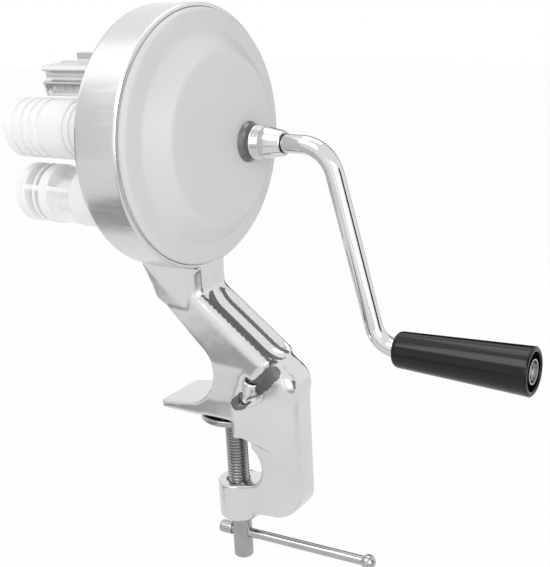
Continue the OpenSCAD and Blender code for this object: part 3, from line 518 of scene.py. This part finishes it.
# %% Neck and clamp
def neck_channel():
    """Capsule along the neck: x u + y e + z n, with u down the neck, e along Y and n out of its face."""
    bow = np.linspace(0, np.pi / 2, 20)
    line = np.vstack(
        [
            np.column_stack([CHANNEL_START - CHANNEL_R * np.cos(bow), CHANNEL_R * np.sin(bow)]),
            np.column_stack([CHANNEL_END + CHANNEL_R * np.sin(bow), CHANNEL_R * np.cos(bow)]),
        ]
    )
    points, faces = turned(evened(line, 2.0, False), (0, 0), TURNS_SMALL, False)
    place = NECK_START + NECK_OUT * (CHANNEL_R - CHANNEL_DEPTH)
    return solid("channel", (points @ np.array([NECK_DOWN, (0, 1, 0), NECK_OUT]) + place, faces))


clamp = merged_copy("clamp_casting", "body_casting")
combined(clamp, [block("keep", KEPT_LOW, KEPT_HIGH)], "INTERSECT")
combined(clamp, [neck_channel()], "DIFFERENCE")
relaxed(clamp, CAST_CUBE, CAST_ROUNDS)
flowing(clamp, FLOWS, FLOW_ROUNDS)


def within(values, span):
    """True where a value lies between two others."""
    return (values > span[0]) & (values < span[1])


def painted_shade_mask(points):
    """True where shade is painted: the channel's walls and the hollow below the neck, where real shade
    falls.

    The hollow is all that lies within a radius of the line from its top to its foot.
    """
    local = points - NECK_START
    y = points[:, 1]
    channel = within(local @ NECK_DOWN, PAINTED_SHADE_RUN) & within(local @ NECK_OUT, PAINTED_SHADE_DEPTH)
    walls = channel & (within(y, NEAR_WALL) | within(y, FAR_WALL))
    line = HOLLOW_FOOT - HOLLOW_TOP
    share = np.clip((points - HOLLOW_TOP) @ line / (line @ line), 0, 1)
    return walls | (np.linalg.norm(points - HOLLOW_TOP - share[:, None] * line, axis=1) < HOLLOW_R)


dressed(clamp, "cast_metal")
# Painted shade: faces on the channel's walls and in the hollow below the neck take the darker cast metal.
clamp.data.materials.append(FINISHES["cast_metal_painted_shade"])
painted_shade = painted_shade_mask(in_millimetres(clamp.data.polygons, "center"))
clamp.data.polygons.foreach_set("material_index", painted_shade.astype(np.int32))
clamp.data.update()
print("faces left with the cast skin", int(painted_shade.sum()))
belongs(clamp, "frame", "cast_metal", "body_casting")

# %% [markdown]
# ## The gear cover
# A moulded plastic dish closes the housing: a rounded outer band, a low cone and a flat disc, with a hole
# for the crank to one side. It is turned with a real wall, and the hole is cut after.

# %% Gear cover
COVER_R, COVER_INNER_R, COVER_SEAT_X, BAND_X = 54.6, 52.0, -10.4, -4.4
CONE_FOOT_X, CONE_FOOT_R, CONE_TOP_X, CONE_TOP_R = -3.4, 45.2, 5.1, 36.3
WALL, CONE_WALL = 2.0, 0.9
HUB_HOLE_R, HOLE_REACH = 7.6, 12.0
cover_line = profile(
    [
        (COVER_SEAT_X, COVER_R, 0.2), (BAND_X, COVER_R, 2.6), (CONE_FOOT_X, CONE_FOOT_R, 1.0),
        (CONE_TOP_X, CONE_TOP_R, 1.2), (CONE_TOP_X, 0, 0), (CONE_TOP_X - WALL, 0, 0),
        (CONE_TOP_X - WALL, CONE_TOP_R - CONE_WALL, 1.0),
        (CONE_FOOT_X - WALL, CONE_FOOT_R - CONE_WALL, 0.8),
        (BAND_X - WALL, COVER_INNER_R, 1.6), (COVER_SEAT_X, COVER_INNER_R, 0.1),
    ],
)
cover = solid("gear_cover_dish", turned(cover_line, HOUSING, TURNS_LARGE))
combined(cover, [bar("hub_hole", CRANK, -HOLE_REACH, HOLE_REACH, HUB_HOLE_R)], "DIFFERENCE")
dressed(cover, "cover_plastic")
belongs(cover, "frame", "cover_plastic", "gear_cover")

# %% [markdown]
# ## Collar, hub and crank rod
# The hub is turned with fine ridges at its wide end. The rod is one round bar with two bends: its path
# lies in one plane, so a circle carried along the path is the whole rod.

# %% Collar and hub
COLLAR_X, COLLAR_R, COLLAR_FLARE, COLLAR_BORE_R = 5.4, 7.7, 1.3, 5.1
HUB_X, HUB_END_X, HUB_R, HUB_END_R, HUB_BORE_R, HUB_EDGE = 9.4, 23.6, 7.6, 5.4, 5.03, 0.15
HUB_CONE_X, COLLAR_GAP = 14.2, 0.05
SOCKET_X, SOCKET_R, MOUTH_X, MOUTH_R = 16.6, 4.02, 21.6, 4.6
flare = np.linspace(0, 1, 14)
flare_r = COLLAR_R + COLLAR_FLARE * (1 - flare) ** 2.2
collar_line = np.vstack(
    [
        [COLLAR_X, COLLAR_BORE_R],
        np.column_stack([COLLAR_X + (HUB_X - COLLAR_X) * flare, flare_r]),
        [HUB_X - COLLAR_GAP, COLLAR_BORE_R],
    ]
)
collar = solid("hub_collar", turned(collar_line, CRANK, TURNS_SMALL))
# The collar is darker than the chrome hub: painted shade for the shade in the cover's hole.
dressed(collar, "collar_steel_painted_shade")
belongs(collar, "crank", "polished_chrome", "crank_collar")

RIDGES, RIDGE_LEN, RIDGE_DEPTH, RIDGE_OFFSET, RIDGE_TAPER = 5, 0.78, 0.22, 0.7, 0.6
ridge_run = np.linspace(0, RIDGES * RIDGE_LEN, RIDGES * 12 + 1)
ridge_taper = RIDGE_TAPER * (ridge_run + RIDGE_OFFSET) / (RIDGES * RIDGE_LEN + RIDGE_OFFSET)
ridge_valley = RIDGE_DEPTH * (0.5 - 0.5 * np.cos(2 * np.pi * ridge_run / RIDGE_LEN)) ** 0.6
hub_line = np.vstack(
    [
        [[HUB_X, HUB_BORE_R], [HUB_X, HUB_R - HUB_EDGE], [HUB_X + HUB_EDGE, HUB_R]],
        np.column_stack([HUB_X + RIDGE_OFFSET + ridge_run, HUB_R - ridge_taper - ridge_valley]),
        profile(
            [
                (HUB_CONE_X, HUB_R - RIDGE_TAPER, 0.3), (HUB_END_X, HUB_END_R, 0.25),
                (HUB_END_X, MOUTH_R, 0.15), (MOUTH_X, MOUTH_R, 0.05), (MOUTH_X, SOCKET_R, 0.05),
            ],
            False, 1.0,
        ),
        [[SOCKET_X, SOCKET_R], [SOCKET_X, HUB_BORE_R]],
    ]
)
hub = solid("crank_hub_cone", turned(hub_line, CRANK, TURNS_SMALL))
dressed(hub, "polished_chrome")
belongs(hub, "crank", "polished_chrome", "crank_hub")

# %% Crank rod
ROD_R, THROW, LEAN = 4.0, 85.1, 14.4
ROD_START_X, STUB_START_X, STUB_LEN = 16.7, 24.0, 8.7
UPPER_BEND_R, LOWER_BEND_R = 16.0, 11.0
GRIP_AXIS = (CRANK[0], CRANK[1] - THROW)
GRIP_GAP, GRIP_LEN, ROD_SEAT = 0.3, 60.0, 0.5
SPINDLE_R, RIVET_R, RIVET_ROUND = 3.0, 4.3, 0.8
SPINDLE_START, SPINDLE_DEPTH, RIVET_LOW, RIVET_TOP = 6.0, 3.6, 4.1, 2.5
bend = math.radians(90 - LEAN)
straight = (THROW - (UPPER_BEND_R + LOWER_BEND_R) * (1 - math.cos(bend))) / math.sin(bend)
upper_bend = np.array([HUB_END_X + STUB_LEN, CRANK[1] - UPPER_BEND_R])
arm_top = upper_bend + UPPER_BEND_R * np.array([math.sin(bend), math.cos(bend)])
arm_low = arm_top + straight * np.array([math.cos(bend), -math.sin(bend)])
lower_bend = arm_low + LOWER_BEND_R * np.array([math.sin(bend), math.cos(bend)])
GRIP_X = lower_bend[0] + GRIP_GAP
GRIP_END_X = GRIP_X + GRIP_LEN


def arc(centre, radius, start, end, steps=40):
    """Points c + r (cos a, sin a) from one angle to another, in degrees."""
    angle = np.radians(np.linspace(start, end, steps))
    return np.asarray(centre) + radius * np.column_stack([np.cos(angle), np.sin(angle)])


rod_path = np.vstack(
    [
        [[ROD_START_X, CRANK[1]], [STUB_START_X, CRANK[1]]],
        arc(upper_bend, UPPER_BEND_R, 90, LEAN),
        arc(lower_bend, LOWER_BEND_R, 180 + LEAN, 270),
        [[GRIP_X + ROD_SEAT, GRIP_AXIS[1]]],
    ]
)
rod_path = evened(rod_path, 2.0, False)
rod = solid("crank_rod", carried(rod_path, ROD_R, CRANK[0]))
rod_ends = [
    bar("spindle", GRIP_AXIS, GRIP_X - SPINDLE_START, GRIP_END_X - SPINDLE_DEPTH, SPINDLE_R),
    bar("rivet", GRIP_AXIS, GRIP_END_X - RIVET_LOW, GRIP_END_X - RIVET_TOP, RIVET_R, RIVET_ROUND),
]
print("rod path", len(rod_path), "points; grip from", round(GRIP_X, 2), "to", round(GRIP_END_X, 2))

combined(rod, rod_ends, "UNION")
dressed(rod, "polished_chrome")
belongs(rod, "crank", "polished_chrome", "crank_arm")

# %% [markdown]
# ## The grip
# The black grip is moulded: slightly tapered, with a round rim at its free end and a deep recess in which
# the steel sleeve and the rod's riveted end can be seen.

# %% Grip
GRIP_START_R, GRIP_END_R, GRIP_SLEEVE_R, GRIP_BORE_R = 7.8, 10.2, 5.22, 5.0
RECESS_DEPTH, RECESS_R, RECESS_MOUTH_R = 6.0, 7.8, 8.0
RIM_LEN, SLEEVE_SEAT = 1.2, 1.6
RECESS_X, SLEEVE_X = GRIP_END_X - RECESS_DEPTH, GRIP_X + SLEEVE_SEAT
grip_line = profile(
    [
        (GRIP_X, GRIP_BORE_R, 0.2), (GRIP_X, GRIP_START_R, 2.2), (GRIP_END_X - RIM_LEN, GRIP_END_R, 0.5),
        (GRIP_END_X, GRIP_END_R, 1.3), (GRIP_END_X, RECESS_MOUTH_R, 0.8), (RECESS_X, RECESS_R, 0.4),
        (RECESS_X, GRIP_SLEEVE_R, 0.1), (SLEEVE_X, GRIP_SLEEVE_R, 0.1), (SLEEVE_X, GRIP_BORE_R, 0.05),
    ],
)
grip = solid("grip_body", turned(grip_line, GRIP_AXIS, TURNS_MEDIUM))
dressed(grip, "grip_plastic")
belongs(grip, "grip", "grip_plastic", "grip")

# %% [markdown]
# ## Feed rollers and cutter
# The upper roller is turned from white plastic with wide and narrow bands. The lower one is an open
# moulding of discs and ribs, so it gets the same soft rebuild as the casting. The cutter is a piece of
# extruded metal whose edges are only just broken, so its cubes are very small.

# %% Upper roller
ROLLER_END_X, ROLLER_LEN, ROLLER_R, CORE_R = -86.9, 48.6, 13.2, 12.2
ROLLER_BORE_R, SCREW_HEAD_R, SCREW_HEAD_DEPTH = 4.02, 4.9, 3.0
BAND_START_SHARES = np.array([0, 0.115, 0.228, 0.325, 0.437, 0.752, 0.823, 0.9])
BAND_END_SHARES = np.array([0.075, 0.19, 0.288, 0.395, 0.71, 0.785, 0.87, 1])
band_low = ROLLER_END_X + ROLLER_LEN * BAND_START_SHARES
band_high = ROLLER_END_X + ROLLER_LEN * BAND_END_SHARES
band_rows = [
    (band_low, CORE_R, 0.15), (band_low, ROLLER_R, 0.5),
    (band_high, ROLLER_R, 0.5), (band_high, CORE_R, 0.15),
]
band_corners = np.stack(
    [np.column_stack([x, 0 * x + radius, 0 * x + rounding]) for x, radius, rounding in band_rows], axis=1
).reshape(-1, 3)
bore_corners = [
    (ROLLER_END_X + ROLLER_LEN, ROLLER_BORE_R, 0.1),
    (ROLLER_END_X + SCREW_HEAD_DEPTH, ROLLER_BORE_R, 0.1),
    (ROLLER_END_X + SCREW_HEAD_DEPTH, SCREW_HEAD_R, 0.1),
    (ROLLER_END_X, SCREW_HEAD_R, 0.3),
]
roller_line = profile(np.vstack([band_corners[1:-1], bore_corners]), True, 1.0)
upper_roller = solid("ringed_roller", turned(roller_line, UPPER, TURNS_MEDIUM))
dressed(upper_roller, "roller_plastic")
belongs(upper_roller, "upper_roller", "roller_plastic", "upper_roller")

# %% Lower roller and cutter
ROLLER_CUBE, ROLLER_ROUNDS = 0.38, 3
CUTTER_CUBE, CUTTER_ROUNDS = 0.25, 2
lower_roller = relaxed(merged_copy("open_roller", "lower_roller"), ROLLER_CUBE, ROLLER_ROUNDS)
dressed(lower_roller, "roller_plastic")
belongs(lower_roller, "lower_roller", "roller_plastic", "lower_roller")

cutter = relaxed(merged_copy("hooked_cutter", "cutter_rotor"), CUTTER_CUBE, CUTTER_ROUNDS)
dressed(cutter, "cutter_alloy")
belongs(cutter, "cutter", "cutter_alloy", "cutter_rotor")

# %% [markdown]
# ## Clamp screw, pad and tommy bar
# A rolled thread is one surface: its radius depends on the height and the angle together, so that the
# ridge climbs by one pitch in each turn. The construction solid has plain ridges in its place.

# %% Threaded clamp screw
PITCH, THREAD_DEPTH, CORE_SCREW_R, SHANK_R = 1.5, 0.9, 4.1, 4.6
THREAD_TOP, THREAD_LOW, SCREW_LOW, SCREW_TOP = -3.4, -52.9, -75.9, -0.75
PIN_R, BUTTON_R, BUTTON_LOW = 3.0, 4.95, -1.9
CREST_START, CREST_SLOPE = 0.86, 0.66
RUN_OUT_LOW, RUN_OUT_TOP = 0.8, 0.4


def thread_surface(turns=TURNS_SMALL):
    """Radius at height z and angle a: base(z) + depth(z) crest(z / pitch - a / 2 pi).

    The crest has a flat top.
    """
    rows = profile(
        [
            (SCREW_LOW, 0, 0), (SCREW_LOW, SHANK_R, 1.6), (THREAD_LOW, SHANK_R, 0.3),
            (THREAD_LOW + RUN_OUT_LOW, CORE_SCREW_R, 0.2), (THREAD_TOP - RUN_OUT_TOP, CORE_SCREW_R, 0.1),
            (THREAD_TOP, PIN_R, 0.1), (BUTTON_LOW, PIN_R, 0), (BUTTON_LOW, BUTTON_R, 0.1),
            (SCREW_TOP, BUTTON_R, 0.3), (SCREW_TOP, 0, 0),
        ],
        False, PITCH / 10,
    )
    z, base = rows[:, :1], rows[:, 1:]
    angle = np.linspace(0, 2 * np.pi, turns, endpoint=False)
    fade = np.clip(np.minimum(z - THREAD_LOW, THREAD_TOP - z) / PITCH, 0, 1)
    wave = np.abs(np.mod(z / PITCH - angle / (2 * np.pi), 1) - 0.5) * 2
    crest = np.clip((CREST_START - wave) / CREST_SLOPE, 0, 1)
    r = base + THREAD_DEPTH * fade * crest
    points = np.stack([r * np.cos(angle), r * np.sin(angle), z + 0 * r], axis=-1)
    return points.reshape(-1, 3), grid_faces(len(rows), turns, False)


BAR_TURN, BAR_Z, BAR_R, BALL_R = math.radians(3.5), -63.3, 2.2, 3.4
CROSS_REACH, CROSS_GAP = 8.0, 0.1


def on_bar(name, line, turns):
    """Round piece turned about X and then set on the tommy bar's axis."""
    points, faces = turned(line, (0, 0), turns, False)
    sine, cosine = math.sin(BAR_TURN), math.cos(BAR_TURN)
    spin = np.array([[cosine, -sine, 0], [sine, cosine, 0], [0, 0, 1]])
    return solid(name, (points @ spin.T + (0, 0, BAR_Z), faces))


screw = solid("threaded_screw", thread_surface())
cross_hole = on_bar("cross_hole", bar_line(-CROSS_REACH, CROSS_REACH, BAR_R + CROSS_GAP), TURNS_THIN)
combined(screw, [cross_hole], "DIFFERENCE")
dressed(screw, "clamp_steel")
belongs(screw, "clamp_screw", "clamp_steel", "clamp_screw")

# %% Pad
PAD_R, PAD_LOW, PAD_TOP = 15.4, -3.2, -0.4
PAD_BORE_R, POCKET_R, POCKET_LOW = 3.05, 5.3, -2.1
pad_line = profile(
    [
        (PAD_LOW, PAD_BORE_R, 0.1), (PAD_LOW, PAD_R, 0.9), (PAD_TOP, PAD_R, 0.7),
        (PAD_TOP, POCKET_R, 0.1), (POCKET_LOW, POCKET_R, 0.1), (POCKET_LOW, PAD_BORE_R, 0.1),
    ],
)
pad_points, pad_faces = turned(pad_line, (0, 0), TURNS_MEDIUM)
pad = solid("pressure_pad", (pad_points[:, [1, 2, 0]], pad_faces))
dressed(pad, "clamp_steel")
belongs(pad, "clamp_pad", "clamp_steel", "clamp_pad")

# %% Tommy bar
BALL_PLACE, BALL_BORE = 65.6, 1.6
CAP_START, CAP_LEN, CAP_WALL, CAP_R = -11.6, 6.6, 1.4, 3.0
CAP_BORE_R = BAR_R + 0.02
rod_line = bar_line(CAP_START + CAP_WALL, BALL_PLACE + BALL_BORE, BAR_R)
tommy = on_bar("tommy_rod", rod_line, TURNS_THIN)
dressed(tommy, "bar_steel")
belongs(tommy, "tommy_bar", "polished_chrome", "tommy_bar")

half_circle = np.linspace(0, np.pi, 33)
ball_line = np.column_stack([BALL_PLACE - BALL_R * np.cos(half_circle), BALL_R * np.sin(half_circle)])
ball = on_bar("bar_ball", ball_line, TURNS_TIP)
dressed(ball, "bar_steel")
belongs(ball, "tommy_bar", "polished_chrome", "tommy_bar_ball")

cap_line = profile(
    [
        (CAP_START, 0, 0), (CAP_START, CAP_R, 0.9), (CAP_START + CAP_LEN, CAP_R, 0.6),
        (CAP_START + CAP_LEN, CAP_BORE_R, 0.1), (CAP_START + CAP_WALL, CAP_BORE_R, 0.05),
        (CAP_START + CAP_WALL, 0, 0),
    ],
    False, 1.0,
)
cap = on_bar("bar_cap", cap_line, TURNS_TIP)
dressed(cap, "bar_steel")
belongs(cap, "tommy_bar", "polished_chrome", "tommy_bar_cap")

# %% [markdown]
# ## The studio
# The machine stands free over a pale floor, lit by large soft lamps. World and floor are white for the
# camera and for what metal reflects, and the world's own light is a quieter grey. Grey, white and dark
# cards stand around the machine and are seen only in mirror-like surfaces: polished metal needs
# something dark and something bright to show its form.

# %% World
SOFT_LIGHT = 0.6
world = bpy.data.worlds.new("studio")
bpy.context.scene.world = world
world.use_nodes = True
world_tree = world.node_tree
world_rays = added(world_tree, "LightPath")


def blend(socket, low, high):
    """Grey level that is high where the ray is of the given kind; low may be another blend."""
    mix = added(world_tree, "Mix", B=high)
    world_tree.links.new(world_rays.outputs[socket], mix.inputs["Factor"])
    if isinstance(low, float):
        mix.inputs["A"].default_value = low
    else:
        world_tree.links.new(low, mix.inputs["A"])
    return mix.outputs["Result"]


level = SOFT_LIGHT
for kind in ("Is Glossy Ray", "Is Transmission Ray", "Is Camera Ray"):
    level = blend(kind, level, 1.0)
background = world_tree.nodes["Background"]
world_tree.links.new(level, background.inputs["Strength"])
background.inputs["Color"].default_value = (1, 1, 1, 1)

# %% Cards
FLOOR_Z, FLOOR_SIZE, FLOOR_GREY, FLOOR_WHITE_SHARE = -150.0, 6000, 245, 0.95
CARD_CORNERS = ((-1, -1), (1, -1), (1, 1), (-1, 1))


def card(name, centre, normal, size, value):
    """Flat stage card that faces along its normal."""
    mesh = bpy.data.meshes.new(name)
    facing = Vector(normal).normalized()
    across_way = Vector((0, 0, 1)).cross(facing)
    if across_way.length < 1e-3:
        across_way = Vector((1, 0, 0))
    across_way.normalize()
    across = across_way * size[0] / 2
    up = facing.cross(across_way) * size[1] / 2
    corners = [(Vector(centre) + across * u + up * v) * MM for u, v in CARD_CORNERS]
    mesh.from_pydata(corners, [], [(0, 1, 2, 3)])
    material = bpy.data.materials.new(name)
    material.use_nodes = True
    shader = material.node_tree.nodes["Principled BSDF"]
    shader.inputs["Base Color"].default_value = (*grey(value), 1)
    shader.inputs["Roughness"].default_value = 0.9
    mesh.materials.append(material)
    piece = placed(name, mesh)
    return piece


def panel(name, centre, normal, size, strength):
    """Card that shines evenly and is seen only in mirror-like surfaces."""
    piece = card(name, centre, normal, size, 0)
    tree = piece.data.materials[0].node_tree
    glow = added(tree, "Emission", Strength=strength)
    tree.links.new(glow.outputs["Emission"], tree.nodes["Material Output"].inputs["Surface"])
    piece.visible_camera = piece.visible_diffuse = piece.visible_shadow = False
    return piece


# %% Floor
def whitened(piece, share):
    """To camera and mirror rays a share of the card shines white; the rest keeps its colour and shadow."""
    tree = piece.data.materials[0].node_tree
    rays = added(tree, "LightPath")
    glow = added(tree, "Emission", Strength=1.0)
    seen = added(tree, "Math")
    seen.operation, seen.use_clamp = "ADD", True
    tree.links.new(rays.outputs["Is Camera Ray"], seen.inputs[0])
    tree.links.new(rays.outputs["Is Glossy Ray"], seen.inputs[1])
    white = added(tree, "Math")
    white.operation = "MULTIPLY"
    white.inputs[1].default_value = share
    tree.links.new(seen.outputs[0], white.inputs[0])
    mix = added(tree, "MixShader")
    tree.links.new(white.outputs[0], mix.inputs["Fac"])
    tree.links.new(tree.nodes["Principled BSDF"].outputs["BSDF"], mix.inputs[1])
    tree.links.new(glow.outputs["Emission"], mix.inputs[2])
    tree.links.new(mix.outputs["Shader"], tree.nodes["Material Output"].inputs["Surface"])


floor = card("floor", (0, 0, FLOOR_Z), (0, 0, 1), (FLOOR_SIZE, FLOOR_SIZE), FLOOR_GREY)
whitened(floor, FLOOR_WHITE_SHARE)
panel("grey_left", (-1500, -300, 300), (1, 0.2, 0), (3200, 2600), 0.8)
panel("grey_floor", (0, 0, FLOOR_Z + 0.5), (0, 0, 1), (5600, 5600), 0.88)
panel("white_top_left", (-620, -200, 760), (0.6, 0.2, -0.75), (420, 1200), 1.4)
panel("white_front", (300, -1200, 250), (-0.25, 1, -0.2), (260, 900), 1.3)
panel("dark_left", (-1100, -700, 60), (0.9, 0.42, 0), (260, 500), 0.05)
panel("dark_floor", (-260, -520, FLOOR_Z + 1), (0, 0, 1), (130, 900), 0.35)
panel("dark_floor_right", (560, -260, FLOOR_Z + 1), (0, 0, 1), (240, 700), 0.12)
panel("dark_back", (-270, 1000, 175), (0.25, -0.97, 0), (700, 820), 0.03)
panel("dark_right", (1000, 250, 50), (-1, -0.25, 0), (360, 900), 0.02)


# %% Lamps
def lamp(name, place, aim, size, watts):
    """Square soft lamp at a place in millimetres, turned towards its aim."""
    data = bpy.data.lights.new(name, "AREA")
    data.size, data.energy = size * MM, watts
    thing = placed(name, data)
    thing.location = Vector(place) * MM
    thing.rotation_mode = "QUATERNION"
    thing.rotation_quaternion = (Vector(aim) - Vector(place)).to_track_quat("-Z", "Y")
    return thing


lamp("key", (-250, -700, 900), (0, 0, 80), 600, 3.2)
lamp("fill", (800, -500, 350), (0, 0, 80), 600, 3.2)
lamp("top", (-100, 300, 900), (-20, 0, 100), 500, 1.2)

# %% [markdown]
# ## View settings
# The view settings stay plain, so that a colour comes out as it is written.

# %% Finish
bpy.context.scene.view_settings.view_transform = "Standard"
